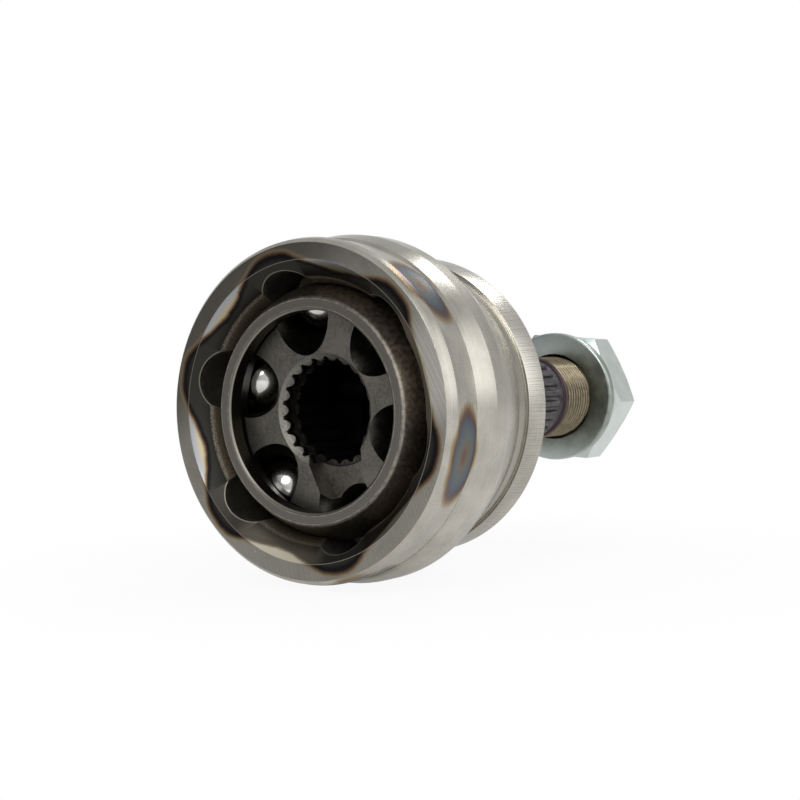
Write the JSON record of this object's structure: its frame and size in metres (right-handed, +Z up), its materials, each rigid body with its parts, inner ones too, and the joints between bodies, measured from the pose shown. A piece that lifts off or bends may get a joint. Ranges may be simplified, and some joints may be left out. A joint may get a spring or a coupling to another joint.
{
  "type": "constant-velocity joint",
  "caption": "Fixed ball-type drive shaft joint: a bell with a splined stub axle around a ball cage and a splined inner race, with its axle nut and washer.",
  "frame": {"origin": "the joint centre, where the axis of the stub meets every axis of articulation", "axes": "+X along the stub axle towards the nut, so the mouth opens towards -X; +Z up, +Y the axis of the race_tilt joint"},
  "size_m": [0.141, 0.0866, 0.0866],
  "materials": {
    "bell_steel": "turned satin steel with heat-tinted spots over the ball grooves",
    "cage_steel": "case-hardened brown-grey steel with ground edges",
    "race_steel": "matte grey hardened steel, light tooth chamfers",
    "ball_steel": "polished bearing steel",
    "washer_zinc": "mottled zinc plating with a bright rolled rim",
    "nut_zinc": "pale satin zinc plating"
  },
  "bodies": {
    "bell": {"bell": "bell_steel"},
    "cage": {"cage": "cage_steel"},
    "inner_race": {"inner_race": "race_steel"},
    "ball_1": {"ball_1": "ball_steel"},
    "ball_2": {"ball_2": "ball_steel"},
    "ball_3": {"ball_3": "ball_steel"},
    "ball_4": {"ball_4": "ball_steel"},
    "ball_5": {"ball_5": "ball_steel"},
    "ball_6": {"ball_6": "ball_steel"},
    "washer": {"washer": "washer_zinc"},
    "nut": {"nut": "nut_zinc"}
  },
  "joints": [
    {"name": "race_tilt", "type": "hinge", "parent": "bell", "child": "inner_race", "pos_m": [0, 0, 0], "axis": [0, 1, 0], "range_deg": [-43, 43]},
    {"name": "cage_tilt", "type": "hinge", "parent": "bell", "child": "cage", "pos_m": [0, 0, 0], "axis": [0, 1, 0], "range_deg": [-21.5, 21.5]},
    {"name": "ball_1_roll", "type": "hinge", "parent": "bell", "child": "ball_1", "pos_m": [-0.0036, 0, 0], "axis": [0, 0.9659, -0.2588], "range_deg": [-20.88, 20.88]},
    {"name": "ball_2_roll", "type": "hinge", "parent": "bell", "child": "ball_2", "pos_m": [-0.0036, 0, 0], "axis": [0, 0.7071, 0.7071], "range_deg": [-15.6, 15.6]},
    {"name": "ball_3_roll", "type": "hinge", "parent": "bell", "child": "ball_3", "pos_m": [-0.0036, 0, 0], "axis": [0, -0.2588, 0.9659], "range_deg": [-5.83, 5.83]},
    {"name": "ball_4_roll", "type": "hinge", "parent": "bell", "child": "ball_4", "pos_m": [-0.0036, 0, 0], "axis": [0, -0.9659, 0.2588], "range_deg": [-20.88, 20.88]},
    {"name": "ball_5_roll", "type": "hinge", "parent": "bell", "child": "ball_5", "pos_m": [-0.0036, 0, 0], "axis": [0, -0.7071, -0.7071], "range_deg": [-15.6, 15.6]},
    {"name": "ball_6_roll", "type": "hinge", "parent": "bell", "child": "ball_6", "pos_m": [-0.0036, 0, 0], "axis": [0, 0.2588, -0.9659], "range_deg": [-5.83, 5.83]},
    {"name": "nut_travel", "type": "slide", "parent": "bell", "child": "washer", "axis": [1, 0, 0], "range_m": [-0.01302, 0.01602]},
    {"name": "nut_spin", "type": "hinge", "parent": "washer", "child": "nut", "pos_m": [0.112, 0, 0], "axis": [1, 0, 0], "range_deg": [-3120, 3840]}
  ],
  "couplings": [
    {"joint": "cage_tilt", "follows": "race_tilt", "ratio": 0.5},
    {"joint": "ball_1_roll", "follows": "race_tilt", "ratio": 0.4844},
    {"joint": "ball_2_roll", "follows": "race_tilt", "ratio": 0.3617},
    {"joint": "ball_3_roll", "follows": "race_tilt", "ratio": -0.1345},
    {"joint": "ball_4_roll", "follows": "race_tilt", "ratio": -0.4844},
    {"joint": "ball_5_roll", "follows": "race_tilt", "ratio": -0.3617},
    {"joint": "ball_6_roll", "follows": "race_tilt", "ratio": 0.1345},
    {"joint": "nut_travel", "follows": "nut_spin", "m_per_rad": 0.00023873}
  ]
}
